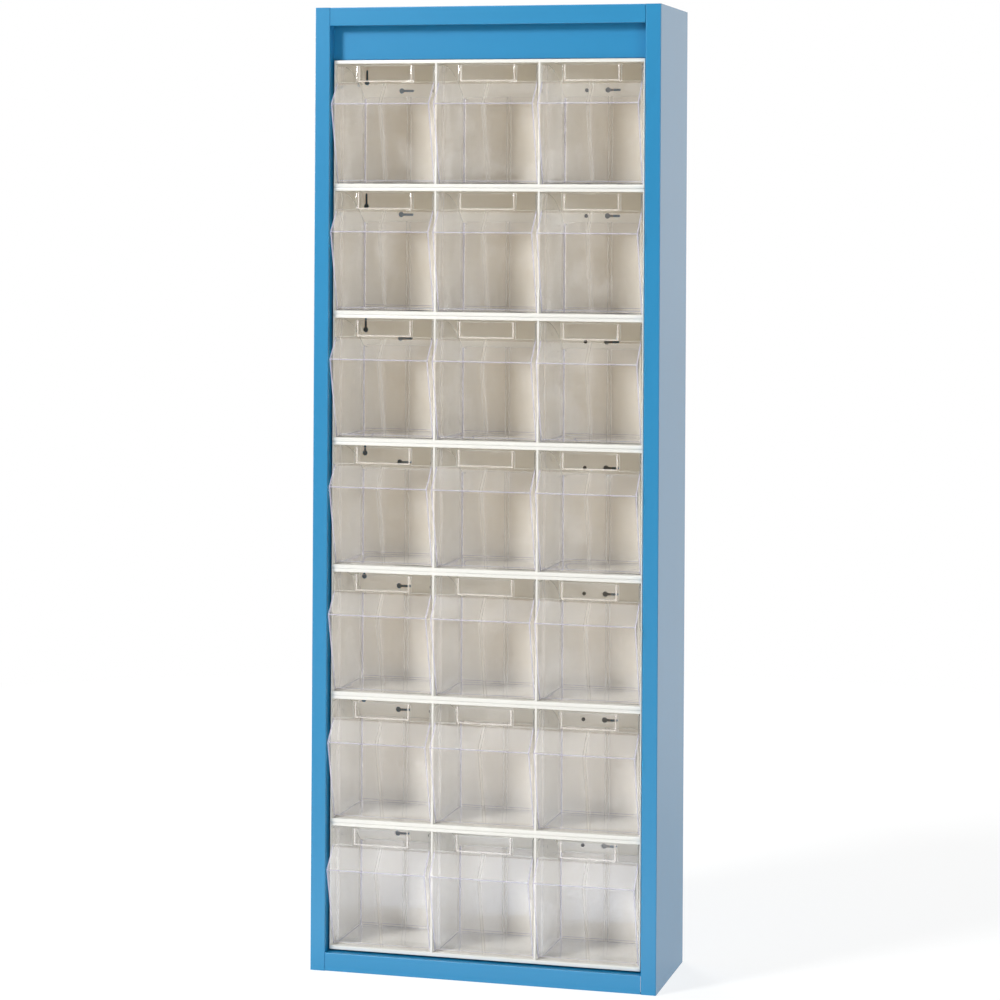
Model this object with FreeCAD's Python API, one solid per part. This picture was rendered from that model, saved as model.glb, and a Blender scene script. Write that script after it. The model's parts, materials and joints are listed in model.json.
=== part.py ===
import FreeCAD, Part
import math
import os

# Bin storage cabinet: a folded steel carcass that holds a column of moulded units with tilting bins.
# All sizes are millimetres. The origin is the middle of the base on the floor.
# +X points to the viewer's right, +Y to the back and +Z up.

# Whole cabinet
cabinet_width = 666.0
cabinet_height = 1817.0
cabinet_depth = 252.0

# Units and their bins
unit_count = 7
bins_per_unit = 3
unit_gap = 0.4              # between one unit and the next
end_wall = 2.5              # outer side walls of a unit
divider = 4.0               # walls between its bins
back_wall = 2.5
plate = 3.0                 # top and floor of a unit
top_lip = 6.4               # height of the front strip above the bins
bottom_lip = 7.0            # height of the front strip below them, level with the floor
lip_thickness = 3.0

# Holes in the back of a unit, measured from its ends and its top
keyhole_round = 10.5
keyhole_slot = 4.6
keyhole_reach = 25.0        # from the middle of the round hole to the end of its slot
end_keyhole_inset = 12.0
end_keyhole_drop = 35.3
side_keyhole_inset = 95.0
side_keyhole_drop = 51.2
fixing_inset = 148.5
fixing_drop = 51.6

# Bin
bin_side_gap = 1.8          # to the walls of its compartment
bin_back_gap = 3.0
bin_rest_gap = 0.3          # to the floor of the unit
bin_top_gap = 3.6           # under the top strip
bin_wall = 2.0
step_depth = 26.5           # the side walls step inwards this far behind their front edge
step_inward = 4.0
corner_radius = 8.0         # upright corners at the back
heel_radius = 5.5           # rounded front of the floor, about the pivot
pivot_setback = 13.5        # behind the front of the unit
nose_reach = 33.0           # in front of the unit
nose_drop = 73.0            # below the top of the bin
nose_radius = 2.0
kink_drop = 36.0            # where the front wall turns upright
kink_radius = 4.0
front_edge_drop = 31.3      # top edge of the front wall, beside the label frame
floor_corner_radius = 4.0
lip_clearance = 2.0         # between the swinging walls and the top strip
stop_overlap = 2.0          # the back wall catches the top strip by this much
label_width = 112.6
label_height = 33.0
label_thickness = 3.2
label_rim = 6.3
label_sill = 5.0
card_slot = 0.8
card_margin = 3.0           # depth of the card slot under the rim
rib_thickness = 1.5
front_rib_width = 6.7       # over the pair
front_rib_foot = 15.0       # how far back the pair reaches at the floor
back_rib_width = 8.7
back_rib_depth = 5.0

# Pivot pegs and their bosses
peg_radius = 2.5
peg_clearance = 0.1
peg_bite = 1.2              # depth of a peg in the wall behind its boss
peg_end_gap = 0.3
boss_height = 1.4

# Carcass
sheet = 1.2
bend_radius = 0.8           # inside a fold
seam = 0.3                  # gap where two panels meet
flange_width = 29.0         # front face of a side panel
return_depth = 27.0         # the flange turns inwards this far
side_gap = 4.0              # between a unit and the return
rear_flange = 20.0
rail_height = 34.5          # front faces of the top and bottom panels
rail_lip = 14.0
unit_setback = 15.5         # units behind the front face
stack_lift = 3.6            # lowest unit above the cabinet floor
blank_height = 64.4         # opening above the stack, closed by the blank panel
blank_gap = 1.0
blank_overlap = 14.0
blank_lip = 12.0
back_sheet = 1.0

# Uprights that the units are screwed to
upright_depth = 63.3
upright_width = 40.0
upright_foot = 18.0

# Fasteners
screw_radius = 2.0
screw_length = 12.0
screw_head_radius = 3.5
screw_head_height = 2.4
screw_head_round = 1.2
screw_play = 0.2            # in the back wall of a unit
tapped_play = 0.05          # in an upright
recess_radius = 1.3
recess_depth = 1.4
rivet_radius = 2.0
rivet_head_radius = 4.0
rivet_head_height = 1.5
rivet_head_round = 1.2
rivet_tail_radius = 2.9
rivet_tail_length = 3.6
rivet_tail_round = 1.4
rivet_play = 0.05
side_rivets = 6             # up each rear flange
top_rivets = 3
foot_rivets = 4             # up each foot of an upright
rivet_margin = 60.0         # from the end of a row of rivets to the end of the panel

# Sizes that follow
unit_width = cabinet_width - 2 * (side_gap + flange_width)
unit_depth = cabinet_depth - unit_setback - upright_depth - back_sheet - sheet
stack_bottom = rail_height + stack_lift
stack_top = cabinet_height - rail_height - blank_height
unit_pitch = (stack_top - stack_bottom) / unit_count
unit_height = unit_pitch - unit_gap
compartment = (unit_width - 2 * end_wall - (bins_per_unit - 1) * divider) / bins_per_unit
bin_pitch = compartment + divider
half_width = cabinet_width / 2
half_opening = half_width - flange_width
front = -cabinet_depth / 2
rear = cabinet_depth / 2
unit_front = front + unit_setback
unit_back = unit_front + unit_depth
back_panel_front = rear - sheet - back_sheet

opening_top = unit_height - top_lip
bin_top = opening_top - bin_top_gap
bin_bottom = bottom_lip + bin_rest_gap
pivot_height = bin_bottom + heel_radius
bin_half = compartment / 2 - bin_side_gap
body_half = bin_half - step_inward
bin_back = unit_depth - back_wall - bin_back_gap
lip_reach = math.hypot(pivot_setback - lip_thickness, opening_top - pivot_height)
sweep_radius = lip_reach - lip_clearance
stop_radius = lip_reach + stop_overlap
label_base = bin_top - label_height

V = FreeCAD.Vector
along_x = V(1, 0, 0)
along_y = V(0, 1, 0)


def slab(x0, x1, y0, y1, z0, z1):
    return Part.makeBox(x1 - x0, y1 - y0, z1 - z0, V(x0, y0, z0))


def rod(radius, start, direction, length):
    return Part.makeCylinder(radius, length, start, direction)


def joined(shapes):
    return shapes[0].fuse(shapes[1:]).removeSplitter()


def mirrored(shape):
    return shape.mirror(V(0, 0, 0), along_x)


def moved(shape, x, y, z):
    copy = shape.copy()
    copy.translate(V(x, y, z))
    return copy


def left_normal(start, end):
    along = (end - start).normalize()
    return V(-along.y, along.x, 0)


def shifted(points, distance, closed):
    # The run of points moved to its left, with its corners kept.
    normals = [left_normal(a, b) for a, b in zip(points, points[1:] + points[:1])]
    last = len(points) - 1
    result = []
    for i, point in enumerate(points):
        before = normals[i - 1] if closed or i > 0 else normals[i]
        after = normals[i] if closed or i < last else before
        result.append(point + (before + after) * (distance / (1 + before.dot(after))))
    return result


def rounded_face(points, radii):
    # A flat face in the XY plane, each corner rounded by its own radius.
    count = len(points)
    corners = []
    for i, corner in enumerate(points):
        back = (points[i - 1] - corner).normalize()
        ahead = (points[(i + 1) % count] - corner).normalize()
        half = back.getAngle(ahead) / 2
        reach = radii[i] / math.tan(half)
        middle = corner + (back + ahead).normalize() * (radii[i] / math.sin(half) - radii[i])
        corners.append((corner + back * reach, middle, corner + ahead * reach))
    edges = []
    for i, (start, middle, end) in enumerate(corners):
        if radii[i] > 0:
            edges.append(Part.Arc(start, middle, end).toShape())
        edges.append(Part.LineSegment(end, corners[(i + 1) % count][0]).toShape())
    return Part.Face(Part.Wire(edges))


def folded_face(points):
    # Section of a folded sheet. The points run along one side and the metal lies to their left.
    other = shifted(points, sheet, False)
    near = [0.0]
    far = [0.0]
    for before, here, after in zip(points, points[1:], points[2:]):
        turns_left = left_normal(before, here).dot(after - here) > 0
        near.append(bend_radius + sheet if turns_left else bend_radius)
        far.append(bend_radius if turns_left else bend_radius + sheet)
    near.append(0.0)
    far.append(0.0)
    return rounded_face(points + other[::-1], near + far[::-1])


def standing(face, z0, z1):
    # A plan (x, y) raised from z0 to z1.
    return moved(face.extrude(V(0, 0, z1 - z0)), 0, 0, z0)


def across(face, x0, x1):
    # A side section, drawn as (y, z), carried from x0 to x1.
    prism = moved(face.extrude(V(0, 0, x1 - x0)), 0, 0, x0)
    prism.rotate(V(0, 0, 0), V(1, 1, 1), 120)
    return prism


def both_corners_cut(shape, x0, y0, y1, z0, z1):
    corner = slab(x0, cabinet_width, y0, y1, z0, z1)
    return shape.cut(corner).cut(mirrored(corner))


# Side panel: front flange with its inward return, side and rear flange in one folded sheet
def side_panel():
    section = folded_face([
        V(half_opening, front + return_depth),
        V(half_opening, front),
        V(half_width, front),
        V(half_width, rear),
        V(half_width - rear_flange, rear),
    ])
    panel = standing(section, 0, cabinet_height)
    # the return ends under the top panel and stands in the notch of the bottom panel
    under_top = cabinet_height - sheet - seam
    inside = half_width - sheet - seam
    above_return = slab(half_opening - seam, inside, front + sheet, rear - sheet, under_top, cabinet_height)
    return panel.cut(above_return)


def top_panel():
    section = folded_face([
        V(rear, cabinet_height - rear_flange),
        V(rear, cabinet_height),
        V(front, cabinet_height),
        V(front, cabinet_height - rail_height),
        V(front + rail_lip, cabinet_height - rail_height),
    ])
    reach = half_width - sheet - seam
    panel = across(section, -reach, reach)
    beside_rail = half_opening - seam
    beside_rear = half_width - rear_flange - seam
    underside = cabinet_height - sheet
    panel = both_corners_cut(panel, beside_rail, front, front + sheet + seam, 0, cabinet_height)
    panel = both_corners_cut(panel, beside_rail, front, front + return_depth, 0, underside)
    panel = both_corners_cut(panel, beside_rear, rear - sheet - seam, rear, 0, cabinet_height)
    return both_corners_cut(panel, beside_rear, 0, rear, 0, underside)


def bottom_panel():
    section = folded_face([
        V(rear - rail_lip, 0),
        V(rear, 0),
        V(rear, rail_height),
        V(front, rail_height),
        V(front, 0),
        V(front + rail_lip, 0),
    ])
    reach = half_width - sheet - seam
    panel = across(section, -reach, reach)
    beside_rail = half_opening - seam
    beside_rear = half_width - rear_flange - seam
    underside = rail_height - sheet
    panel = both_corners_cut(panel, beside_rail, front, front + return_depth + seam, 0, rail_height)
    panel = both_corners_cut(panel, beside_rear, rear - sheet - seam, rear, 0, rail_height)
    return both_corners_cut(panel, beside_rear, 0, rear, 0, underside)


# Blank panel: closes the opening above the stack, on the rear edges of the two returns
def blank_panel():
    face = front + return_depth
    low = stack_top + blank_gap
    high = cabinet_height - sheet - seam
    section = folded_face([
        V(face + blank_lip, high),
        V(face, high),
        V(face, low),
        V(face + blank_lip, low),
    ])
    reach = half_opening + blank_overlap
    return across(section, -reach, reach)


# Uprights: two hat sections between the back panel and the units
def upright(x):
    foot_front = back_panel_front - sheet
    inner = upright_width / 2
    outer = inner + upright_foot
    section = folded_face([
        V(x - outer, foot_front),
        V(x - inner, foot_front),
        V(x - inner, unit_back),
        V(x + inner, unit_back),
        V(x + inner, foot_front),
        V(x + outer, foot_front),
    ])
    return standing(section, rail_height, stack_top)


upright_centre = unit_width / 2 - fixing_inset


# Rivets: places as (x, z, y of the face under the head)
def spread(count, low, high):
    step = (high - low) / (count - 1)
    return [low + i * step for i in range(count)]


def flange_rivet_places():
    side_x = half_width - rear_flange / 2
    up = spread(side_rivets, rail_height + rivet_margin, cabinet_height - rivet_margin)
    sides = [(x, z, rear) for x in (-side_x, side_x) for z in up]
    top_x = half_width - rear_flange - rivet_margin
    top = [(x, cabinet_height - rear_flange / 2, rear) for x in spread(top_rivets, -top_x, top_x)]
    return sides + top


def foot_rivet_places():
    foot_x = (upright_width + upright_foot) / 2
    up = spread(foot_rivets, rail_height + rivet_margin, stack_top - rivet_margin)
    lines = [side * upright_centre + foot for side in (-1, 1) for foot in (-foot_x, foot_x)]
    return [(x, z, rear - sheet) for x in lines for z in up]


def rivet_holes(places):
    radius = rivet_radius + rivet_play
    depth = sheet + back_sheet + 2 * seam
    return [rod(radius, V(x, y + seam, z), -along_y, depth) for x, z, y in places]


def turned(points, radii, x, y, z):
    # A turned piece about an axis along Y, from the outline (radius, y) of one half of it.
    solid = rounded_face(points, radii).revolve(V(0, 0, 0), along_y, 360)
    return moved(solid, x, y, z)


def rivet(x, z, y):
    # domed head behind, shank through both sheets, drawn tail in front
    grip = sheet + back_sheet
    points = [
        V(0, -grip - rivet_tail_length),
        V(rivet_tail_radius, -grip - rivet_tail_length),
        V(rivet_tail_radius, -grip),
        V(rivet_radius, -grip),
        V(rivet_radius, 0),
        V(rivet_head_radius, 0),
        V(rivet_head_radius, rivet_head_height),
        V(0, rivet_head_height),
    ]
    radii = [0.0, rivet_tail_round, 0.0, 0.0, 0.0, 0.0, rivet_head_round, 0.0]
    return turned(points, radii, x, y, z)


# Screws that hold each unit to the uprights
def screw_places():
    rows = [stack_bottom + i * unit_pitch + unit_height - fixing_drop for i in range(unit_count)]
    return [(side * upright_centre, z) for z in rows for side in (-1, 1)]


def screw(x, z):
    # pan head in front of the unit's back wall, with a round recess, and a plain shank behind
    points = [
        V(0, recess_depth - screw_head_height),
        V(recess_radius, recess_depth - screw_head_height),
        V(recess_radius, -screw_head_height),
        V(screw_head_radius, -screw_head_height),
        V(screw_head_radius, 0),
        V(screw_radius, 0),
        V(screw_radius, screw_length),
        V(0, screw_length),
    ]
    radii = [0.0, 0.0, 0.0, screw_head_round, 0.0, 0.0, 0.0, 0.0]
    return turned(points, radii, x, unit_back - back_wall, z)


# Unit casing: one moulding, made at the front middle of its base
def keyhole(x, z, along):
    through = unit_depth - back_wall - seam
    depth = back_wall + 2 * seam
    end = V(x, through, z) + along * (keyhole_reach - keyhole_slot / 2)
    half = keyhole_slot / 2
    sideways = V(along.z, 0, along.x) * half
    low = V(x, through, z) - sideways
    high = end + sideways
    bar = slab(min(low.x, high.x), max(low.x, high.x), through, through + depth,
               min(low.z, high.z), max(low.z, high.z))
    return [rod(keyhole_round / 2, V(x, through, z), along_y, depth), bar, rod(half, end, along_y, depth)]


def pivot_boss(wall_x, side):
    # a round-topped pad on the wall of a compartment, standing on the floor
    foot = pivot_height - bottom_lip
    start = V(wall_x, pivot_setback, pivot_height)
    far = wall_x - side * boss_height
    pad = slab(min(wall_x, far), max(wall_x, far), pivot_setback - foot, pivot_setback + foot,
               bottom_lip, pivot_height)
    return rod(foot, start, along_x * -side, boss_height).fuse(pad)


def pivot_socket(wall_x, side):
    depth = boss_height + peg_bite + peg_end_gap
    start = V(wall_x - side * boss_height, pivot_setback, pivot_height)
    return rod(peg_radius + peg_clearance, start, along_x * side, depth)


def column_x(column):
    return (column - (bins_per_unit - 1) / 2) * bin_pitch


def unit_casing():
    half = unit_width / 2
    inner_back = unit_depth - back_wall
    casing = slab(-half, half, 0, unit_depth, 0, unit_height)
    hollows = []
    bosses = []
    sockets = []
    for column in range(bins_per_unit):
        low = column_x(column) - compartment / 2
        high = low + compartment
        hollows.append(slab(low, high, lip_thickness, inner_back, bottom_lip, unit_height - plate))
        hollows.append(slab(low, high, 0, lip_thickness, bottom_lip, opening_top))
        hollows.append(slab(low, high, lip_thickness, inner_back, 0, bottom_lip - plate))
        for wall_x, side in ((low, -1), (high, 1)):
            bosses.append(pivot_boss(wall_x, side))
            sockets.append(pivot_socket(wall_x, side))
    holes = []
    for side in (-1, 1):
        end_x = side * (half - end_keyhole_inset)
        side_x = side * (half - side_keyhole_inset) - keyhole_reach / 2
        holes += keyhole(end_x, unit_height - end_keyhole_drop, V(0, 0, 1))
        holes += keyhole(side_x, unit_height - side_keyhole_drop, along_x)
        fixing = V(side * upright_centre, inner_back - seam, unit_height - fixing_drop)
        holes.append(rod(screw_radius + screw_play, fixing, along_y, back_wall + 2 * seam))
    return joined([casing.cut(hollows)] + bosses).cut(sockets + holes)


# Bin: one moulding, made at the front middle of the unit's base
def bin_section(top):
    # Corners of the side view: front edge, kink, nose, heel, floor and back.
    nose = V(-nose_reach, bin_top - nose_drop)
    pivot = V(pivot_setback, pivot_height)
    to_pivot = pivot - nose
    # the front wall runs from the nose to touch the heel circle
    turn = -math.asin(heel_radius / to_pivot.Length)
    slope = FreeCAD.Rotation(V(0, 0, 1), math.degrees(turn)).multVec(to_pivot)
    heel = nose + slope * ((bin_bottom - nose.y) / slope.y)
    return [
        V(0, top),
        V(0, bin_top - kink_drop),
        nose,
        heel,
        V(bin_back, bin_bottom),
        V(bin_back, top),
    ]


def section_radii(inset):
    # Radii of those corners, on a section drawn this far inside. The nose keeps its own.
    return [0.0, kink_radius + inset, nose_radius, heel_radius - inset, floor_corner_radius - inset, 0.0]


def bin_plan():
    # Corners of the plan, anticlockwise from the front.
    ahead = -nose_reach - 2 * bin_wall
    return [
        V(-bin_half, ahead),
        V(bin_half, ahead),
        V(bin_half, step_depth),
        V(body_half, step_depth),
        V(body_half, bin_back),
        V(-body_half, bin_back),
        V(-body_half, step_depth),
        V(-bin_half, step_depth),
    ]


def plan_radii(inset):
    back = corner_radius - inset
    return [0.0, 0.0, 0.0, 0.0, back, back, 0.0, 0.0]


def bin_shell(sweep):
    outline = rounded_face(bin_section(bin_top), section_radii(0.0))
    plan = rounded_face(bin_plan(), plan_radii(0.0))
    body = across(outline, -bin_half, bin_half).common(standing(plan, 0, unit_height)).common(sweep)
    # the hollow runs out of the top
    hollow = shifted(bin_section(unit_height + bin_wall), bin_wall, True)
    outline = rounded_face(hollow, section_radii(bin_wall))
    plan = rounded_face(shifted(bin_plan(), bin_wall, True), plan_radii(bin_wall))
    room = across(outline, -bin_half, bin_half).common(standing(plan, 0, unit_height))
    inside = bin_half - bin_wall
    front_gap = slab(-inside, inside, -bin_wall, bin_wall, bin_top - front_edge_drop, unit_height)
    return body.cut(room).cut(front_gap)


def label_frame():
    half = label_width / 2
    window = half - label_rim
    card = window + card_margin
    sill = label_base + label_sill
    card_front = (label_thickness - card_slot) / 2
    frame = slab(-half, half, 0, label_thickness, label_base, bin_top)
    frame = frame.cut(slab(-window, window, -seam, card_front, sill, unit_height))
    return frame.cut(slab(-card, card, card_front, card_front + card_slot, sill - card_margin, unit_height))


def rib_pair(rib, width):
    # the pair stands either side of the middle, as a guide for a partition
    outer = width / 2
    right = rib(outer - rib_thickness, outer)
    return [right, mirrored(right)]


def front_rib(x0, x1):
    nose_fill = across(rounded_face(bin_section(bin_top), section_radii(0.0)), x0, x1)
    floor = bin_bottom + bin_wall / 2
    edge = [
        V(-2 * nose_reach, floor),
        V(front_rib_foot, floor),
        V(bin_wall, label_base),
        V(-2 * nose_reach, label_base),
    ]
    return nose_fill.common(across(rounded_face(edge, [0.0] * len(edge)), x0, x1))


def back_rib(x0, x1):
    wall_face = bin_back - bin_wall
    floor = bin_bottom + bin_wall / 2
    return slab(x0, x1, wall_face - back_rib_depth, wall_face + bin_wall / 2, floor, bin_top)


def storage_bin():
    pivot = V(0, pivot_setback, pivot_height)
    sweep = rod(sweep_radius, pivot - along_x * unit_width, along_x, 2 * unit_width)
    pieces = [bin_shell(sweep), label_frame()]
    pieces += rib_pair(front_rib, front_rib_width)
    pieces += [rib.common(sweep) for rib in rib_pair(back_rib, back_rib_width)]
    # the raised top edge of the back wall meets the top strip and stops the tilt
    stop_top = pivot_height + math.sqrt(stop_radius ** 2 - (bin_back - pivot_setback) ** 2)
    stop_half = body_half - corner_radius
    stop_base = stop_top - corner_radius
    pieces.append(slab(-stop_half, stop_half, bin_back - bin_wall, bin_back, stop_base, stop_top))
    peg_length = bin_wall / 2 + bin_side_gap + peg_bite
    for side in (-1, 1):
        start = pivot + along_x * (side * (bin_half - bin_wall / 2))
        pieces.append(rod(peg_radius, start, along_x * side, peg_length))
    return joined(pieces)


os.makedirs("parts", exist_ok=True)


def write(name, shape):
    shape.exportStep("parts/" + name + ".step")


flange_rivets = flange_rivet_places()
foot_rivets_at = foot_rivet_places()
screws_at = screw_places()

right_side = side_panel().cut(rivet_holes(flange_rivets))
write("side_panel_right", right_side)
write("side_panel_left", mirrored(right_side))
write("top_panel", top_panel().cut(rivet_holes(flange_rivets)))
write("bottom_panel", bottom_panel())
write("blank_panel", blank_panel())

back_reach = half_width - sheet - bend_radius - seam
back_panel = slab(-back_reach, back_reach, back_panel_front, rear - sheet,
                  rail_height, cabinet_height - sheet - bend_radius - seam)
write("back_panel", back_panel.cut(rivet_holes(flange_rivets + foot_rivets_at)))

screw_holes = [rod(screw_radius + tapped_play, V(x, unit_back - seam, z), along_y, sheet + 2 * seam)
               for x, z in screws_at]
for name, side in (("mounting_upright_left", -1), ("mounting_upright_right", 1)):
    write(name, upright(side * upright_centre).cut(screw_holes + rivet_holes(foot_rivets_at)))

write("back_rivets", Part.makeCompound([rivet(*place) for place in flange_rivets + foot_rivets_at]))
write("unit_screws", Part.makeCompound([screw(*place) for place in screws_at]))

casing = unit_casing()
tilt_bin = storage_bin()
for row in range(1, unit_count + 1):
    base = stack_bottom + (unit_count - row) * unit_pitch
    write("unit_casing_%d" % row, moved(casing, 0, unit_front, base))
    for column in range(bins_per_unit):
        write("bin_%d_%d" % (row, column + 1), moved(tilt_bin, column_x(column), unit_front, base))
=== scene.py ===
import json
import math
import bmesh
import bpy
from mathutils import Matrix, Vector
from types import SimpleNamespace


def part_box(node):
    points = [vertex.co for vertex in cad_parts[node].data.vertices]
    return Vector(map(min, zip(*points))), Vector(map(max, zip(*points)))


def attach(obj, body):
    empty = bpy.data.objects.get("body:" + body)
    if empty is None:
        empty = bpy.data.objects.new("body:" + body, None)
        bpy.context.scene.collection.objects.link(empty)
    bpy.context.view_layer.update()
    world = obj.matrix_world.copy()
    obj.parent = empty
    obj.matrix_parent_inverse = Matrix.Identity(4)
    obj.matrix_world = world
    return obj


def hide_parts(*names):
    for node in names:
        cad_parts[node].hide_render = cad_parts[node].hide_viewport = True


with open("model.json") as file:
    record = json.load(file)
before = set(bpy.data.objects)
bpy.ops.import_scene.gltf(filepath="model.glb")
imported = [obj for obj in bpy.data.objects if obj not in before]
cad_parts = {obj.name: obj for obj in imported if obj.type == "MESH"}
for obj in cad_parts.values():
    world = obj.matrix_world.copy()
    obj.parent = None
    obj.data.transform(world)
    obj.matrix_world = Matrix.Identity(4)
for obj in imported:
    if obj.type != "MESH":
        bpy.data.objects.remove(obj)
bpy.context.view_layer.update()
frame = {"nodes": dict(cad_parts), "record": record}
nodes = frame["nodes"]
mm = 0.001
print("frame loaded:", len(nodes), "nodes")

# a Mix node's sockets share their names, so they go by number
valueA, valueB = 2, 3
colourA, colourB = 6, 7
mixedColour = 2


# sRGB hex to the linear colour that shaders take
def hexColour(code):
    channels = [int(code[i:i + 2], 16) / 255 for i in (1, 3, 5)]
    linear = [c / 12.92 if c <= 0.04045 else ((c + 0.055) / 1.055) ** 2.4 for c in channels]
    return (*linear, 1.0)


# adds a node, sets its inputs or properties by name, and links sockets into it
def addNode(tree, kind, settings=None, links=None):
    node = tree.nodes.new(kind)
    for name, value in (settings or {}).items():
        if isinstance(name, int) or name in node.inputs:
            node.inputs[name].default_value = value
        else:
            setattr(node, name, value)
    for name, socket in (links or {}).items():
        tree.links.new(socket, node.inputs[name])
    return node


def newMaterial(name):
    material = bpy.data.materials.new(name)
    material.use_nodes = True
    material.node_tree.nodes.clear()
    return material, material.node_tree


def perMetre(size):
    return 1 / (size * mm)      # pattern scale for a feature of this many millimetres


# a finish's two tones, drifting into each other
def driftingTone(tree, finish):
    place = addNode(tree, "ShaderNodeTexCoord").outputs["Object"]
    drift = addNode(tree, "ShaderNodeTexNoise",
                    {"Scale": perMetre(finish["driftSize"]), "Detail": finish["driftDetail"]},
                    {"Vector": place})
    tone = addNode(tree, "ShaderNodeMix",
                   {"data_type": "RGBA", colourA: hexColour(finish["colour"]),
                    colourB: hexColour(finish["shade"])}, {0: drift.outputs["Fac"]})
    return tone.outputs[mixedColour]


# a finish's fine unevenness, as normals
def fineGrain(tree, finish):
    place = addNode(tree, "ShaderNodeTexCoord").outputs["Object"]
    grain = addNode(tree, "ShaderNodeTexNoise",
                    {"Scale": perMetre(finish["grainSize"]), "Detail": finish["grainDetail"]},
                    {"Vector": place})
    bump = addNode(tree, "ShaderNodeBump",
                   {"Strength": finish["grainStrength"], "Distance": finish["grainDepth"] * mm},
                   {"Height": grain.outputs["Fac"]})
    return bump.outputs["Normal"]


# powder-coated steel: baked paint, satin, with a fine orange peel that breaks up reflections
bluePaint = {
    "colour": "#128EC4",
    "shade": "#0E87BC",
    "driftSize": 260.0,
    "driftDetail": 2.0,
    "grainSize": 3.0,           # real peel is about 1 mm, drawn coarser so that it shows
    "grainDetail": 1.0,
    "grainDepth": 0.1,
    "grainStrength": 0.12,
    "roughness": 0.42,
    "ior": 1.5,
    "gloss": 0.8,
    "glossRoughness": 0.25,
}


def powderCoatedSteel():
    material, tree = newMaterial("powderCoatedSteel")
    shader = addNode(tree, "ShaderNodeBsdfPrincipled",
                     {"Roughness": bluePaint["roughness"], "IOR": bluePaint["ior"],
                      "Coat Weight": bluePaint["gloss"], "Coat Roughness": bluePaint["glossRoughness"]},
                     {"Base Color": driftingTone(tree, bluePaint), "Normal": fineGrain(tree, bluePaint)})
    addNode(tree, "ShaderNodeOutputMaterial", None, {"Surface": shader.outputs["BSDF"]})
    return material


# high-impact polystyrene: opaque cream-white moulding, satin, a little uneven in tone
creamMoulding = {
    "colour": "#F5F4EF",
    "shade": "#F1EFE8",
    "driftSize": 90.0,
    "driftDetail": 3.0,
    "grainSize": 1.5,           # coarser than the mould's own texture, so that it shows
    "grainDetail": 1.0,
    "grainDepth": 0.05,
    "grainStrength": 0.05,
    "roughness": 0.38,
    "ior": 1.57,
}


def mouldedPolystyrene():
    material, tree = newMaterial("mouldedPolystyrene")
    shader = addNode(tree, "ShaderNodeBsdfPrincipled",
                     {"Roughness": creamMoulding["roughness"], "IOR": creamMoulding["ior"]},
                     {"Base Color": driftingTone(tree, creamMoulding),
                      "Normal": fineGrain(tree, creamMoulding)})
    addNode(tree, "ShaderNodeOutputMaterial", None, {"Surface": shader.outputs["BSDF"]})
    return material


# crystal polystyrene: clear and polished; the thin walls hardly bend the light that goes through them
clearMoulding = {
    "tint": "#FDFDFE",
    "shadowTint": "#FAF9F7",
    "polish": 0.03,             # roughness of the skin
    "skinIor": 1.57,
    "bendIor": 1.01,
    "smearSize": 70.0,
    "smearDetail": 4.0,
    "smearFrom": {"From Min": 0.5, "From Max": 0.75},
    "haze": 0.06,               # milkiness of the smears left by hands
}


def crystalPolystyrene():
    material, tree = newMaterial("crystalPolystyrene")
    place = addNode(tree, "ShaderNodeTexCoord").outputs["Object"]
    smear = addNode(tree, "ShaderNodeTexNoise", {"Scale": perMetre(clearMoulding["smearSize"]),
                                                 "Detail": clearMoulding["smearDetail"]}, {"Vector": place})
    through = addNode(tree, "ShaderNodeMapRange",
                      {**clearMoulding["smearFrom"], "To Min": 1.0, "To Max": 1 - clearMoulding["haze"]},
                      {"Value": smear.outputs["Fac"]})
    glass = addNode(tree, "ShaderNodeBsdfPrincipled",
                    {"Base Color": hexColour(clearMoulding["tint"]), "IOR": clearMoulding["bendIor"],
                     "Roughness": 0.0, "Coat Weight": 1.0, "Coat IOR": clearMoulding["skinIor"],
                     "Coat Roughness": clearMoulding["polish"]},
                    {"Transmission Weight": through.outputs["Result"]})
    clear = addNode(tree, "ShaderNodeBsdfTransparent", {"Color": hexColour(clearMoulding["shadowTint"])})
    rays = addNode(tree, "ShaderNodeLightPath")
    surface = addNode(tree, "ShaderNodeMixShader", None,
                      {0: rays.outputs["Is Shadow Ray"], 1: glass.outputs["BSDF"], 2: clear.outputs["BSDF"]})
    addNode(tree, "ShaderNodeOutputMaterial", None, {"Surface": surface.outputs[0]})
    return material


# the same plastic, painted where light piped through its walls comes out: lavender along corners, partly its
# own tint, white highlights on rims
pipedLight = {
    "crystalCorner": {"colour": "#D4D2EA", "opacity": 0.6},
    "crystalRim": {"colour": "#F8F7F6", "opacity": 0.5},
    "crystalRib": {"colour": "#F8F7F6", "opacity": 0.03},
    "crystalRibLine": {"colour": "#F8F7F6", "opacity": 0.25},
}
pipedRoughness = 0.15


# painted edge light: a part-clear colour laid on edge faces in place of the light they catch and carry
def paintedEdgeLight(name, colour, opacity):
    material, tree = newMaterial(name)
    shader = addNode(tree, "ShaderNodeBsdfPrincipled",
                     {"Base Color": hexColour(colour), "Roughness": pipedRoughness,
                      "IOR": clearMoulding["skinIor"], "Alpha": opacity})
    addNode(tree, "ShaderNodeOutputMaterial", None, {"Surface": shader.outputs["BSDF"]})
    return material


# galvanised steel: grey zinc with a mottled spangle
zincCoat = {"colour": "#A9AEB3", "shade": "#8F959B", "spangleSize": 9.0, "metallic": 1.0, "roughness": 0.4}


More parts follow.
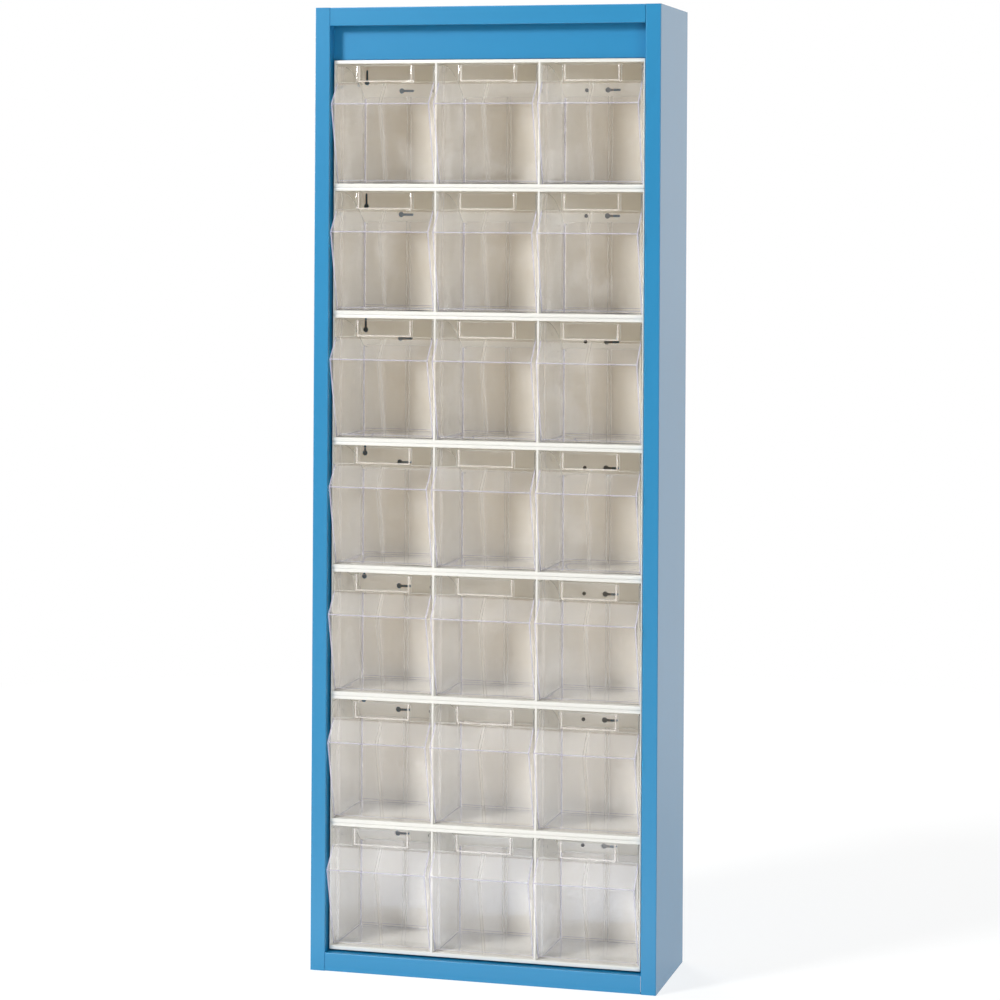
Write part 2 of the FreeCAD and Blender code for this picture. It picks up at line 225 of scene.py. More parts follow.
def galvanisedSteel():
    material, tree = newMaterial("galvanisedSteel")
    place = addNode(tree, "ShaderNodeTexCoord").outputs["Object"]
    spangle = addNode(tree, "ShaderNodeTexVoronoi", {"Scale": perMetre(zincCoat["spangleSize"])},
                      {"Vector": place})
    tone = addNode(tree, "ShaderNodeMix",
                   {"data_type": "RGBA", colourA: hexColour(zincCoat["colour"]),
                    colourB: hexColour(zincCoat["shade"])}, {0: spangle.outputs["Color"]})
    shader = addNode(tree, "ShaderNodeBsdfPrincipled",
                     {"Metallic": zincCoat["metallic"], "Roughness": zincCoat["roughness"]},
                     {"Base Color": tone.outputs[mixedColour]})
    addNode(tree, "ShaderNodeOutputMaterial", None, {"Surface": shader.outputs["BSDF"]})
    return material


# black oxide on steel screws: near black and dull; drawn aluminium on the rivets: pale and brighter
fastenerGrain = {
    "grainSize": 0.8,           # coarser than the real grain, so that it shows
    "grainDetail": 2.0,
    "grainDepth": 0.05,
    "grainStrength": 0.15,
}
blackOxide = {"colour": "#17171A", "metallic": 0.6, "roughness": 0.45}
aluminium = {"colour": "#C9CBCD", "metallic": 1.0, "roughness": 0.35}


def fastenerMetal(name, finish):
    material, tree = newMaterial(name)
    shader = addNode(tree, "ShaderNodeBsdfPrincipled",
                     {"Base Color": hexColour(finish["colour"]), "Metallic": finish["metallic"],
                      "Roughness": finish["roughness"]}, {"Normal": fineGrain(tree, fastenerGrain)})
    addNode(tree, "ShaderNodeOutputMaterial", None, {"Surface": shader.outputs["BSDF"]})
    return material


finishes = {
    "blue_steel": powderCoatedSteel(),
    "white_casing": mouldedPolystyrene(),
    "clear_bin": crystalPolystyrene(),
    "galvanised_steel": galvanisedSteel(),
    "dark_screw": fastenerMetal("blackOxideSteel", blackOxide),
    "rivet_aluminium": fastenerMetal("drawnAluminium", aluminium),
}
slotOf = {part["node"]: part["material_slot"] for part in frame["record"]["subparts"]}
bodyOf = {node: body for body, members in frame["record"]["behaviour"]["bodies"].items() for node in members}
for name, slot in slotOf.items():
    mesh = nodes[name].data
    mesh.materials.clear()
    mesh.materials.append(finishes[slot])
print("finishes given to", len(slotOf), "nodes")


# mouldings: copies of the CAD nodes with softened edges, made once and set down for every unit and bin
softening = {
    "mergeWithin": 0.004,
    "flatWithin": 0.6,          # degrees
    "sharpOver": 30.0,          # degrees
    "shortest": 4.0,            # edges shorter than this stay as they are
    "width": 0.5,
    "strips": 2,
    "roundness": 0.5,
}
# material slots of a bin: the clear wall, then the painted edge light of pipedLight in their order
wall, corner, rim, rib, ribLine = range(5)
# where the painted edge light goes on a bin
binLines = {
    "rimWidth": 3.6,            # a face narrower than this between sharp edges is a rim
    "rimShare": 0.6,            # of the way round such a face
    "noseReach": 1.5,           # the foremost part of a bin, where its front wall folds
    "ribZone": 10.0,            # the roots of the ribs, this near the middle of a bin, stay plain
    "endBand": 2.2,             # the ends of the front wall, where the side walls meet it
    "frontEdgeDrop": 31.3,      # top edge of the front wall, under the top of the bin
    "edgeBand": 1.6,
    "heelHeight": 6.0,          # where the front wall runs into the rounded heel
    "heelBand": 0.9,
    "labelHalf": 56.3,
    "labelHeight": 33.0,
    "ribSpan": (1.85, 3.35),    # where a rib stands on the front wall, either side of the middle
    "frontDepth": 45.0,         # the front wall lies within this of the nose
    "frontFacing": -0.2,        # the normal of a front face has less than this along Y
    "floorBand": 1.4,           # along the foot of the walls
    "floorFacing": 0.9,         # the normal of the bin's floor has more than this along Z
    "cornerLean": (0.55, 0.84),  # the middle of a rounded corner faces about equally to side and back
}


def isSharp(edge):
    return edge.calc_face_angle() > math.radians(softening["sharpOver"])


def mergedShape(mesh):
    shape = bmesh.new()
    shape.from_mesh(mesh)
    bmesh.ops.remove_doubles(shape, verts=shape.verts, dist=softening["mergeWithin"] * mm)
    bmesh.ops.dissolve_limit(shape, angle_limit=math.radians(softening["flatWithin"]), verts=shape.verts,
                             edges=shape.edges)
    return shape


def softenEdges(shape, edges):
    long = [edge for edge in edges if isSharp(edge) and edge.calc_length() > softening["shortest"] * mm]
    return bmesh.ops.bevel(shape, geom=long, offset=softening["width"] * mm, offset_type="OFFSET",
                           segments=softening["strips"], profile=softening["roundness"], affect="EDGES",
                           clamp_overlap=False, material=wall)["faces"]


def softCasing(shape):
    softenEdges(shape, [edge for edge in shape.edges if edge.is_convex])


def binExtent(shape):
    across = [vert.co.x for vert in shape.verts]
    heights = [vert.co.z for vert in shape.verts]
    middle = (min(across) + max(across)) / 2
    nose = min(vert.co.y for vert in shape.verts) + binLines["noseReach"] * mm
    half = max(abs(vert.co.x - middle) for vert in shape.verts if vert.co.y < nose)
    return SimpleNamespace(middle=middle, half=half, nose=nose, top=max(heights),
                           heel=min(heights) + binLines["heelHeight"] * mm)


def markRims(shape, extent):
    # narrow faces between sharp edges are rims, with a painted highlight, and other narrow ones at the nose
    # are corners, in lavender
    labelHalf = binLines["labelHalf"] * mm
    labelBase = extent.top - binLines["labelHeight"] * mm
    for face in shape.faces:
        centre = face.calc_center_median()
        inLabel = centre.z > labelBase and abs(centre.x - extent.middle) < labelHalf
        sharp = [edge for edge in face.edges if isSharp(edge) and (edge.is_convex or inLabel)]
        around = face.calc_perimeter()
        narrow = 2 * face.calc_area() / around < binLines["rimWidth"] * mm
        if narrow and sum(edge.calc_length() for edge in sharp) > binLines["rimShare"] * around:
            face.material_index = rim
        elif narrow and centre.y < extent.nose:
            face.material_index = corner


def softenCorners(shape, extent):
    def awayFromRibs(edge):
        return abs((edge.verts[0].co.x + edge.verts[1].co.x) / 2 - extent.middle) > binLines["ribZone"] * mm

    made = softenEdges(shape, [edge for edge in shape.edges if edge.is_convex or awayFromRibs(edge)])
    # the softened edges take the corners' lavender, and those beside a rim its painted highlight
    for face in made:
        face.material_index = corner
    for strip in range(softening["strips"]):    # every strip of a softened edge takes after a rim beside it
        for face in made:
            if any(other.material_index == rim for edge in face.edges for other in edge.link_faces):
                face.material_index = rim


def facesFront(face):
    return face.normal.y < binLines["frontFacing"]


def bandFront(shape, extent):
    # bands of painted edge light on the front wall, along its ends, its top edge, the heel and the ribs
    # behind it: lavender at the ends and heel, painted highlights along the top edge and the ribs
    middle = extent.middle
    ends = extent.half - binLines["endBand"] * mm
    edgeTop = extent.top - binLines["frontEdgeDrop"] * mm
    edgeBase = edgeTop - binLines["edgeBand"] * mm
    heelBase = extent.heel - binLines["heelBand"] * mm
    ribIn, ribOut = (reach * mm for reach in binLines["ribSpan"])
    cuts = [((middle + x, 0, 0), (1, 0, 0)) for x in (-ends, ends)]
    cuts += [((0, 0, z), (0, 0, 1)) for z in (edgeBase, extent.heel, heelBase)]
    cuts += [((middle + x, 0, 0), (1, 0, 0)) for x in (-ribOut, -ribIn, ribIn, ribOut)]
    for place, normal in cuts:
        front = [face for face in shape.faces if facesFront(face)]
        around = dict.fromkeys(part for face in front for part in (*face.verts, *face.edges))
        bmesh.ops.bisect_plane(shape, geom=[*front, *around], plane_co=place, plane_no=normal)
    for face in shape.faces:
        centre = face.calc_center_median()
        aside = abs(centre.x - middle)
        byFront = centre.y < extent.nose + binLines["frontDepth"] * mm
        if centre.z >= edgeTop:
            continue
        if not facesFront(face):
            if byFront and aside < ribOut + softening["width"] * mm:
                face.material_index = rib
        elif face.material_index == wall:
            if aside > ends:
                face.material_index = corner
            elif centre.z > edgeBase and aside > binLines["labelHalf"] * mm:
                face.material_index = rim
            elif heelBase < centre.z < extent.heel:
                face.material_index = corner
            elif byFront and ribIn < aside < ribOut:
                face.material_index = ribLine


def bandFoot(shape, extent):
    # lavender lines on the rounded corners at the back and along the foot of the walls, partly the plastic's
    # own tint seen end-on and partly painted light
    low, high = binLines["cornerLean"]
    for face in shape.faces:
        lean = abs(face.normal.x), abs(face.normal.y)
        if face.material_index == wall and all(low < share < high for share in lean):
            face.material_index = corner
    floor = [face for face in shape.faces
             if face.normal.z > binLines["floorFacing"] and face.calc_center_median().z < extent.heel]
    ring = bmesh.ops.inset_region(shape, faces=floor, thickness=binLines["floorBand"] * mm, use_boundary=True,
                                  use_even_offset=True)["faces"]
    for face in ring:
        if abs(face.calc_center_median().x - extent.middle) > binLines["ribZone"] * mm:
            face.material_index = corner


def softBin(shape):
    extent = binExtent(shape)
    for step in (markRims, softenCorners, bandFront, bandFoot):
        step(shape, extent)


def softened(name, soften):
    mesh = nodes[name].data.copy()
    mesh.attributes.remove(mesh.attributes["custom_normal"])
    shape = mergedShape(mesh)
    soften(shape)
    shape.to_mesh(mesh)
    shape.free()
    mesh.polygons.foreach_set("use_smooth", [True] * len(mesh.polygons))
    mesh.set_sharp_from_angle(angle=math.radians(softening["sharpOver"]))
    return mesh


def setDown(pattern, source, name):
    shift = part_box(name)[0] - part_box(source)[0]
    mesh = pattern.copy()
    mesh.transform(Matrix.Translation(shift))
    piece = bpy.data.objects.new("soft_" + name, mesh)
    bpy.context.scene.collection.objects.link(piece)
    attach(piece, bodyOf[name])
    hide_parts(name)


casings = [name for name in slotOf if slotOf[name] == "white_casing"]
bins = [name for name in slotOf if slotOf[name] == "clear_bin"]
casingPattern = softened(casings[0], softCasing)
binPattern = softened(bins[0], softBin)
for name, finish in pipedLight.items():
    binPattern.materials.append(paintedEdgeLight(name, finish["colour"], finish["opacity"]))
for name in casings:
    setDown(casingPattern, casings[0], name)
for name in bins:
    setDown(binPattern, bins[0], name)
print("softened", len(casings), "casings and", len(bins), "bins,", len(binPattern.polygons), "faces a bin")


# fasteners: one of each is built by nodes and set down, turned at random, on the seats of the CAD ones
screwShape = {
    "Head Radius": 3.5 * mm,
    "Head Height": 2.4 * mm,
    "Straight Share": 0.5,      # of the head's height, under its dome
    "Shank Radius": 1.9 * mm,
    "Shank Length": 12.0 * mm,
    "Recess Span": 4.0 * mm,
    "Recess Width": 0.9 * mm,
    "Seed": 3,
}
rivetShape = {
    "Head Radius": 4.0 * mm,
    "Head Height": 1.5 * mm,
    "Straight Share": 0.3,
    "Dome Share": 0.6,
    "Pin Radius": 1.0 * mm,
    "Grip": 2.2 * mm,           # thickness of the two sheets
    "Tail Radius": 2.9 * mm,
    "Tail Length": 3.6 * mm,
    "Seed": 5,
}
roundParts = {"sides": 28, "rings": 14}


def newTree(name, values):
    tree = bpy.data.node_groups.new(name, "GeometryNodeTree")
    tree.interface.new_socket("Places", in_out="INPUT", socket_type="NodeSocketGeometry")
    for label, value in values.items():
        kind = "NodeSocketInt" if isinstance(value, int) else "NodeSocketFloat"
        tree.interface.new_socket(label, in_out="INPUT", socket_type=kind)
    tree.interface.new_socket("Finish", in_out="INPUT", socket_type="NodeSocketMaterial")
    tree.interface.new_socket("Fasteners", in_out="OUTPUT", socket_type="NodeSocketGeometry")
    return tree, addNode(tree, "NodeGroupInput").outputs


def disc(tree, radius, height, level=None):
    # a round bar along Y, from the given level, or else from 0, backwards
    bar = addNode(tree, "GeometryNodeMeshCylinder", {"Vertices": roundParts["sides"]},
                  {"Radius": radius, "Depth": height})
    half = addNode(tree, "ShaderNodeMath", {"operation": "MULTIPLY_ADD", 1: 0.5, 2: 0.0}, {0: height})
    if level is not None:
        tree.links.new(level, half.inputs[2])
    place = addNode(tree, "ShaderNodeCombineXYZ", None, {"Y": half.outputs[0]})
    return addNode(tree, "GeometryNodeTransform", {"Rotation": (math.pi / 2, 0, 0)},
                   {"Geometry": bar.outputs["Mesh"], "Translation": place.outputs[0]}).outputs[0]


def dome(tree, radius, height, level):
    # a ball flattened along Y, with its middle at the given level
    ball = addNode(tree, "GeometryNodeMeshUVSphere",
                   {"Segments": roundParts["sides"], "Rings": roundParts["rings"], "Radius": 1.0})
    size = addNode(tree, "ShaderNodeCombineXYZ", None, {"X": radius, "Y": height, "Z": radius})
    place = addNode(tree, "ShaderNodeCombineXYZ", None, {"Y": level})
    return addNode(tree, "GeometryNodeTransform", None,
                   {"Geometry": ball.outputs["Mesh"], "Scale": size.outputs[0],
                    "Translation": place.outputs[0]}).outputs[0]


def setOnPlaces(tree, given, shape):
    # each copy is turned about its own axis, then all become plain faces
    turn = addNode(tree, "FunctionNodeRandomValue", {"data_type": "FLOAT_VECTOR", 1: (0, math.tau, 0)},
                   {"Seed": given["Seed"]})
    copies = addNode(tree, "GeometryNodeInstanceOnPoints", None,
                     {"Points": given["Places"], "Instance": shape, "Rotation": turn.outputs[0]})
    plain = addNode(tree, "GeometryNodeRealizeInstances", None, {0: copies.outputs[0]})
    smooth = addNode(tree, "GeometryNodeSetShadeSmooth", None, {0: plain.outputs[0]})
    finish = addNode(tree, "GeometryNodeSetMaterial", None,
                     {"Geometry": smooth.outputs[0], "Material": given["Finish"]})
    addNode(tree, "NodeGroupOutput", None, {0: finish.outputs[0]})


def screwTree():
    # pan head with a cross recess, seated at level 0 and facing -Y, and its shank behind
    tree, given = newTree("panHeadScrews", screwShape)
    radius, height = given["Head Radius"], given["Head Height"]
    rise = addNode(tree, "ShaderNodeMath", {"operation": "MULTIPLY"}, {0: height, 1: given["Straight Share"]})
    front = addNode(tree, "ShaderNodeMath", {"operation": "MULTIPLY", 1: -1.0}, {0: rise.outputs[0]})
    head = addNode(tree, "GeometryNodeMeshBoolean", {"operation": "UNION"})
    for form in (disc, dome):
        tree.links.new(form(tree, radius, rise.outputs[0], front.outputs[0]), head.inputs["Mesh 2"])
    cross = addNode(tree, "GeometryNodeMeshBoolean", {"operation": "DIFFERENCE"},
                    {"Mesh 1": head.outputs["Mesh"]})
    foremost = addNode(tree, "ShaderNodeMath", {"operation": "MULTIPLY", 1: -1.0}, {0: height})
    top = addNode(tree, "ShaderNodeCombineXYZ", None, {"Y": foremost.outputs[0]})
    bar = addNode(tree, "ShaderNodeCombineXYZ", None,
                  {"X": given["Recess Span"], "Y": height, "Z": given["Recess Width"]})
    slot = addNode(tree, "GeometryNodeMeshCube", None, {"Size": bar.outputs[0]})
    for turn in (0, math.pi / 2):
        cut = addNode(tree, "GeometryNodeTransform", {"Rotation": (0, turn, 0)},
                      {"Geometry": slot.outputs["Mesh"], "Translation": top.outputs[0]})
        tree.links.new(cut.outputs[0], cross.inputs["Mesh 2"])
    whole = addNode(tree, "GeometryNodeJoinGeometry", None, {0: cross.outputs["Mesh"]})
    tree.links.new(disc(tree, given["Shank Radius"], given["Shank Length"]), whole.inputs[0])
    setOnPlaces(tree, given, whole.outputs[0])
    return tree


def rivetTree():
    # domed head seated at level 0 and facing +Y, the broken pin in its middle, and the drawn tail in front
    tree, given = newTree("blindRivets", rivetShape)
    radius, height = given["Head Radius"], given["Head Height"]
    length = addNode(tree, "ShaderNodeMath", {"operation": "ADD"},
                     {0: given["Grip"], 1: given["Tail Length"]})
    tail = addNode(tree, "ShaderNodeMath", {"operation": "MULTIPLY", 1: -1.0}, {0: length.outputs[0]})
    rise = addNode(tree, "ShaderNodeMath", {"operation": "MULTIPLY"}, {0: height, 1: given["Straight Share"]})
    swell = addNode(tree, "ShaderNodeMath", {"operation": "MULTIPLY"}, {0: height, 1: given["Dome Share"]})
    whole = addNode(tree, "GeometryNodeJoinGeometry")
    for part in (disc(tree, radius, rise.outputs[0]), dome(tree, radius, swell.outputs[0], rise.outputs[0]),
                 disc(tree, given["Pin Radius"], height),
                 disc(tree, given["Tail Radius"], given["Tail Length"], tail.outputs[0])):
        tree.links.new(part, whole.inputs[0])
    setOnPlaces(tree, given, whole.outputs[0])
    return tree


def islandBoxes(name):
    # the box of each separate solid in a CAD node, in order of place to a tenth of a millimetre
    shape = mergedShape(nodes[name].data)
    left = set(shape.verts)
    boxes = []
    while left:
        island = [left.pop()]
        for vert in island:
            joined = {edge.other_vert(vert) for edge in vert.link_edges} & left
            left -= joined
            island.extend(joined)
        corners = [vert.co for vert in island]
        boxes.append([Vector(pick(co[axis] for co in corners) for axis in range(3)) for pick in (min, max)])
    shape.free()
    return sorted(boxes, key=lambda box: tuple(round(value, 4) for value in box[0]))


def setFasteners(name, pieceName, tree, values, seatLevel):
    places = [((low.x + high.x) / 2, seatLevel(low, high), (low.z + high.z) / 2)
              for low, high in islandBoxes(name)]
    mesh = bpy.data.meshes.new(pieceName)
    mesh.from_pydata(places, [], [])
    piece = bpy.data.objects.new(pieceName, mesh)
    bpy.context.scene.collection.objects.link(piece)
    modifier = piece.modifiers.new("fasteners", "NODES")
    modifier.node_group = tree
    given = dict(values, Finish=finishes[slotOf[name]])
    for socket in tree.interface.items_tree:
        if socket.in_out == "INPUT" and socket.name in given:
            modifier[socket.identifier] = given[socket.name]
    solid = bpy.data.meshes.new_from_object(piece.evaluated_get(bpy.context.evaluated_depsgraph_get()))
    piece.modifiers.remove(modifier)
    piece.data = solid
    solid.materials.clear()     # the nodes leave an empty slot before the finish
    solid.materials.append(given["Finish"])
    solid.polygons.foreach_set("material_index", [0] * len(solid.polygons))
    solid.set_sharp_from_angle(angle=math.radians(softening["sharpOver"]))
    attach(piece, bodyOf[name])
    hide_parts(name)
    print(pieceName + ":", len(places), "with", len(solid.polygons), "faces")


setFasteners("unit_screws", "panScrews", screwTree(), screwShape,
             lambda low, high: low.y + screwShape["Head Height"])
setFasteners("back_rivets", "blindRivets", rivetTree(), rivetShape,
             lambda low, high: high.y - rivetShape["Head Height"])


# studio: a white surround and a pale floor that keeps the shadow; the ranges are those of Map Range nodes
studio = {
    "white": "#FFFFFF",
    "evenLight": 0.24,          # light from all round
    "behind": {"From Min": -0.3, "From Max": 0.1},      # headings of a ray where the white surround begins
    "above": {"From Min": 0.5, "From Max": 0.7},        # rises of a ray where the lit ceiling begins
    "ceiling": {"From Min": -0.27, "From Max": -0.34,   # the ceiling in reflections, by the ray's heading
                "To Min": 1.9, "To Max": 3.7},
    "frontMirrored": 0.05,      # how bright the room in front looks in reflections
    "frontThrough": 0.4,        # and to light that leaves through clear plastic
    "frontTone": "#FFDFA8",
    "floorSize": 60.0,
    "floorColour": "#F4F4F2",
    "floorGlow": 1.3,
    "glowShare": 0.6,           # the rest of the light on the floor is real, so that shadows stay
    "shadowReach": {"From Min": 1.5, "From Max": 3.5},  # distances over which the floor turns plain white
    "nearMirrored": 0.95,       # the floor in reflections
    "farMirrored": 0.9,
    "mirroredFrom": {"From Min": -4.0, "From Max": -1.5},   # places in front where such reflections fade in
    # a painted pool of light: near the object the floor glows brighter to all rays, in place of the light it
    # throws back
    "pool": {"From Min": 1.7, "From Max": 0.4},         # the floor throws back most light near the object
    "poolFront": {"From Min": -0.1, "From Max": -0.5},  # places in front where the pool starts in reflections
    "poolTone": "#E2EDFF",
    "poolShare": 0.3,
    "poolMirrored": 1.9,
    "poolThrough": 2.6,
    "floorThrough": 0.6,
    "bounces": 24,
    "lampsAim": (0.0, 0.0, 0.95),
}
lamps = {
    "keyLamp": {"place": (-3.6, -4.6, 3.9), "size": 1.6, "power": 275.0},
    "fillLamp": {"place": (3.4, -4.4, 2.0), "size": 2.5, "power": 60.0},
    "backLamp": {"place": (-2.6, 4.2, 2.6), "size": 2.5, "power": 110.0},     # for the views from behind
}


def seenRays(tree, mirroredShare=None):
    # 1 for rays from the camera, off gloss and through clear plastic, which see white, and 0 for the rest
    rays = addNode(tree, "ShaderNodeLightPath")
    glossy = rays.outputs["Is Glossy Ray"]
    if mirroredShare is not None:
        glossy = addNode(tree, "ShaderNodeMath", {"operation": "MULTIPLY"},
                         {0: glossy, 1: mirroredShare}).outputs[0]
    either = addNode(tree, "ShaderNodeMath", {"operation": "MAXIMUM"},
                     {0: rays.outputs["Is Camera Ray"], 1: glossy})
    seen = addNode(tree, "ShaderNodeMath", {"operation": "MAXIMUM"},
                   {0: either.outputs[0], 1: rays.outputs["Is Transmission Ray"]})
    return seen.outputs[0]


def rayKinds(tree):
    # rays mirrored by a surface, and rays that leave through clear plastic after a bounce behind it
    rays = addNode(tree, "ShaderNodeLightPath")
    crossing = rays.outputs["Is Transmission Ray"]
    mirrored = addNode(tree, "ShaderNodeMath", {"operation": "SUBTRACT", "use_clamp": True},
                       {0: rays.outputs["Is Glossy Ray"], 1: crossing})
    bounces = addNode(tree, "ShaderNodeMath", {"operation": "ADD"},
                      {0: rays.outputs["Diffuse Depth"], 1: rays.outputs["Glossy Depth"]})
    leaving = addNode(tree, "ShaderNodeMath", {"operation": "MINIMUM"}, {0: bounces.outputs[0], 1: crossing})
    return mirrored.outputs[0], leaving.outputs[0]


def makeWorld():
    world = bpy.data.worlds.new("whiteSurround")
    bpy.context.scene.world = world
    world.use_nodes = True
    tree = world.node_tree
    tree.nodes.clear()
    white = hexColour(studio["white"])
    way = addNode(tree, "ShaderNodeSeparateXYZ", None,
                  {0: addNode(tree, "ShaderNodeTexCoord").outputs["Generated"]})
    mirrored, leaving = rayKinds(tree)
    heading, rise = way.outputs["Y"], way.outputs["Z"]
    behind = addNode(tree, "ShaderNodeMapRange", studio["behind"], {"Value": heading}).outputs["Result"]
    above = addNode(tree, "ShaderNodeMapRange", studio["above"], {"Value": rise}).outputs["Result"]
    ceiling = addNode(tree, "ShaderNodeMapRange", studio["ceiling"], {"Value": heading})
    # white to a camera, even through a clear bin; the room in front is dimmer to the two kinds of ray
    inMirror = addNode(tree, "ShaderNodeMix", {valueA: 1.0, valueB: studio["frontMirrored"]}, {0: mirrored})
    front = addNode(tree, "ShaderNodeMix", {valueB: studio["frontThrough"]},
                    {0: leaving, valueA: inMirror.outputs[0]})
    around = addNode(tree, "ShaderNodeMix", {valueB: 1.0}, {0: behind, valueA: front.outputs[0]})
    upward = addNode(tree, "ShaderNodeMath", {"operation": "MULTIPLY"}, {0: above, 1: mirrored})
    strength = addNode(tree, "ShaderNodeMix", None,
                       {0: upward.outputs[0], valueA: around.outputs[0], valueB: ceiling.outputs["Result"]})
    # and it has a tone of its own, which the surround behind and the ceiling don't share
    neutral = addNode(tree, "ShaderNodeMath", {"operation": "MAXIMUM"}, {0: behind, 1: above})
    toned = addNode(tree, "ShaderNodeMath", {"operation": "MAXIMUM"}, {0: mirrored, 1: leaving})
    pale = addNode(tree, "ShaderNodeMix", {valueA: 1.0}, {0: toned.outputs[0], valueB: neutral.outputs[0]})
    tone = addNode(tree, "ShaderNodeMix",
                   {"data_type": "RGBA", colourA: hexColour(studio["frontTone"]), colourB: white},
                   {0: pale.outputs[0]})
    sight = addNode(tree, "ShaderNodeBackground", None,
                    {"Color": tone.outputs[mixedColour], "Strength": strength.outputs[0]})
    light = addNode(tree, "ShaderNodeBackground", {"Color": white, "Strength": studio["evenLight"]})
    mix = addNode(tree, "ShaderNodeMixShader", None,
                  {0: seenRays(tree), 1: light.outputs[0], 2: sight.outputs[0]})
    addNode(tree, "ShaderNodeOutputWorld", None, {"Surface": mix.outputs[0]})


# matt white paper that glows in part, so that it looks white and still takes a shadow, and glows brighter
# near the object, a painted pool of light in place of the light the floor throws back
def studioPaper():
    material, tree = newMaterial("studioPaper")
    paper = addNode(tree, "ShaderNodeBsdfDiffuse", {"Color": hexColour(studio["floorColour"])})
    place = addNode(tree, "ShaderNodeTexCoord").outputs["Object"]
    ahead = addNode(tree, "ShaderNodeSeparateXYZ", None, {0: place}).outputs["Y"]
    away = addNode(tree, "ShaderNodeVectorMath", {"operation": "LENGTH"}, {0: place}).outputs["Value"]
    mirrored, leaving = rayKinds(tree)
    pool = addNode(tree, "ShaderNodeMapRange", studio["pool"], {"Value": away}).outputs["Result"]
    # how much of the light is glow
    fade = addNode(tree, "ShaderNodeMapRange", studio["mirroredFrom"], {"Value": ahead})
    glowShare = addNode(tree, "ShaderNodeMapRange", {**studio["shadowReach"], "To Min": studio["glowShare"]},
                        {"Value": away})
    seen = addNode(tree, "ShaderNodeMath", {"operation": "MULTIPLY"},
                   {0: seenRays(tree, fade.outputs["Result"]), 1: glowShare.outputs["Result"]})
    poolShare = addNode(tree, "ShaderNodeMath", {"operation": "MULTIPLY", 1: studio["poolShare"]}, {0: pool})
    share = addNode(tree, "ShaderNodeMath", {"operation": "MAXIMUM"},
                    {0: seen.outputs[0], 1: poolShare.outputs[0]})
    # how bright the glow is to the camera, in reflections and to light that leaves through clear plastic
    level = addNode(tree, "ShaderNodeMapRange", {**studio["shadowReach"], "To Min": studio["floorGlow"]},
                    {"Value": away})
    mirroredFloor = addNode(tree, "ShaderNodeMapRange",
                            {**studio["shadowReach"], "To Min": studio["nearMirrored"],
                             "To Max": studio["farMirrored"]}, {"Value": away})
    poolFront = addNode(tree, "ShaderNodeMapRange", {**studio["poolFront"], "To Max": studio["poolMirrored"]},
                        {"Value": ahead})
    mirroredLevel = addNode(tree, "ShaderNodeMath", {"operation": "MULTIPLY_ADD"},
                            {0: pool, 1: poolFront.outputs["Result"], 2: mirroredFloor.outputs["Result"]})
    through = addNode(tree, "ShaderNodeMapRange",
                      {"To Min": studio["floorThrough"], "To Max": studio["poolThrough"]}, {"Value": pool})
    inSight = addNode(tree, "ShaderNodeMix", None,
                      {0: mirrored, valueA: level.outputs["Result"], valueB: mirroredLevel.outputs[0]})
    strength = addNode(tree, "ShaderNodeMix", None,
                       {0: leaving, valueA: inSight.outputs[0], valueB: through.outputs["Result"]})
    throughTone = addNode(tree, "ShaderNodeMix",
                          {"data_type": "RGBA", colourA: hexColour(studio["frontTone"]),
                           colourB: hexColour(studio["poolTone"])}, {0: pool})
    tone = addNode(tree, "ShaderNodeMix", {"data_type": "RGBA", colourA: hexColour(studio["white"])},
                   {0: leaving, colourB: throughTone.outputs[mixedColour]})
    glow = addNode(tree, "ShaderNodeEmission", None,
                   {"Color": tone.outputs[mixedColour], "Strength": strength.outputs[0]})
    mix = addNode(tree, "ShaderNodeMixShader", None,
                  {0: share.outputs[0], 1: paper.outputs[0], 2: glow.outputs[0]})
    addNode(tree, "ShaderNodeOutputMaterial", None, {"Surface": mix.outputs[0]})
    return material


def makeFloor():
    half = studio["floorSize"] / 2
    mesh = bpy.data.meshes.new("studioFloor")
    corners = [(-half, -half, 0), (half, -half, 0), (half, half, 0), (-half, half, 0)]
    mesh.from_pydata(corners, [], [(0, 1, 2, 3)])
    mesh.materials.append(studioPaper())
    floor = bpy.data.objects.new("studioFloor", mesh)
    bpy.context.scene.collection.objects.link(floor)


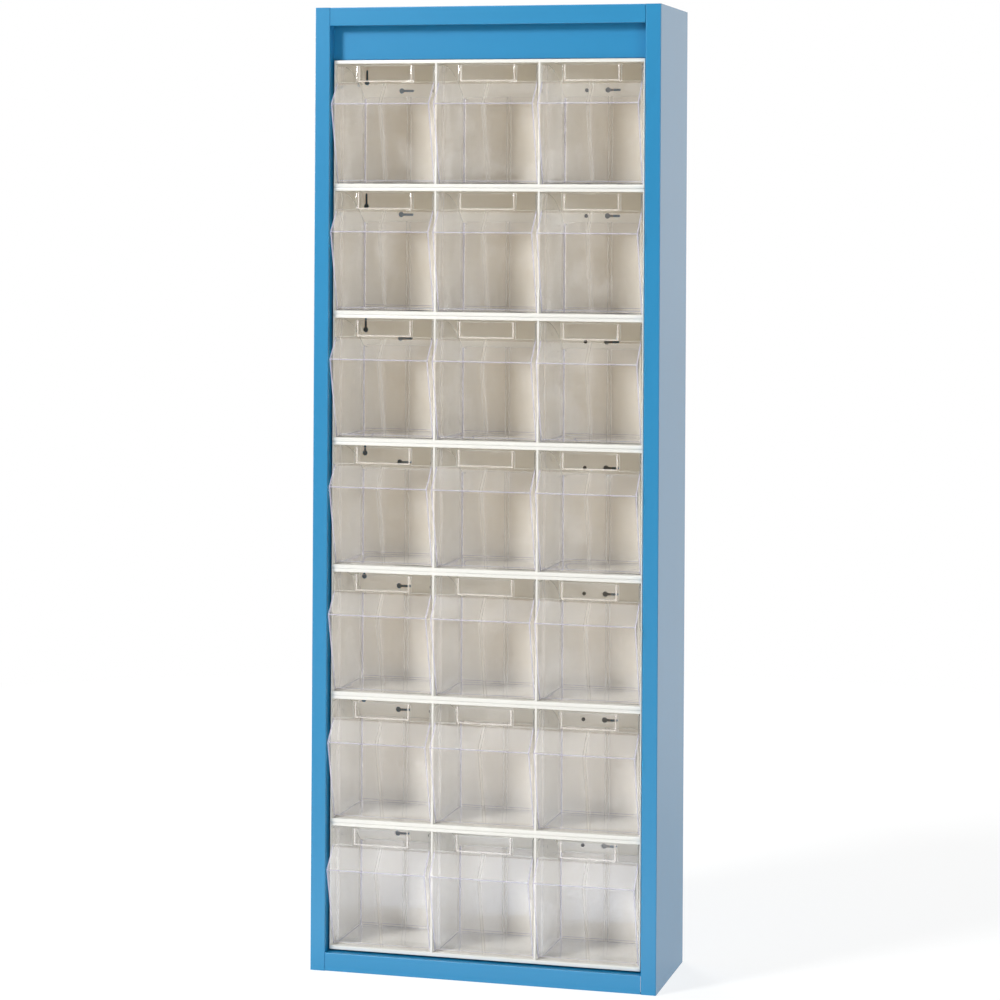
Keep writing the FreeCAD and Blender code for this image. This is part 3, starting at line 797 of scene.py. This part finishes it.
def addLamp(name, place, size, power):
    lamp = bpy.data.lights.new(name, "AREA")
    lamp.shape = "DISK"
    lamp.size = size
    lamp.energy = power
    holder = bpy.data.objects.new(name, lamp)
    holder.location = place
    holder.rotation_euler = (Vector(studio["lampsAim"]) - Vector(place)).to_track_quat("-Z", "Y").to_euler()
    bpy.context.scene.collection.objects.link(holder)


# light crosses several clear walls and goes round the white compartments before it comes out again
paths = bpy.context.scene.cycles
paths.max_bounces = studio["bounces"]
paths.transmission_bounces = studio["bounces"]
paths.transparent_max_bounces = studio["bounces"]
makeWorld()
makeFloor()
for name, lamp in lamps.items():
    addLamp(name, **lamp)
print("studio lit by", len(lamps), "lamps")


# camera as solved from the photograph: standing to the right, level, with the lens shifted down
view = {
    "standsAt": (1.41332, -5.23668, 1.44370),   # metres, the second from the front face of the flanges
    "turn": 0.2583253,          # radians
    "rise": 0.0018942,
    "roll": 0.0055650,
    "focalPixels": 2915.536,
    "centreRow": 200.788,
    "frameWidth": 1000.0,
    "sensor": 36.0,             # millimetres
}


def makeCamera():
    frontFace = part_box("side_panel_right")[0].y
    turn, rise, roll = view["turn"], view["rise"], view["roll"]
    ahead = Vector((-math.sin(turn) * math.cos(rise), math.cos(turn) * math.cos(rise), math.sin(rise)))
    level = Vector((math.cos(turn), math.sin(turn), 0))
    upright = level.cross(ahead)
    right = math.cos(roll) * level + math.sin(roll) * upright
    up = math.cos(roll) * upright - math.sin(roll) * level
    lens = bpy.data.cameras.new("photoCamera")
    lens.sensor_width = view["sensor"]
    lens.lens = view["focalPixels"] / view["frameWidth"] * view["sensor"]
    lens.shift_y = (view["centreRow"] - view["frameWidth"] / 2) / view["frameWidth"]
    camera = bpy.data.objects.new("photoCamera", lens)
    place = Matrix((right, up, -ahead)).transposed().to_4x4()
    place.translation = Vector(view["standsAt"]) + Vector((0, frontFace, 0))
    camera.matrix_world = place
    bpy.context.scene.collection.objects.link(camera)
    bpy.context.scene.camera = camera


makeCamera()
bpy.context.scene.view_settings.view_transform = "Standard"
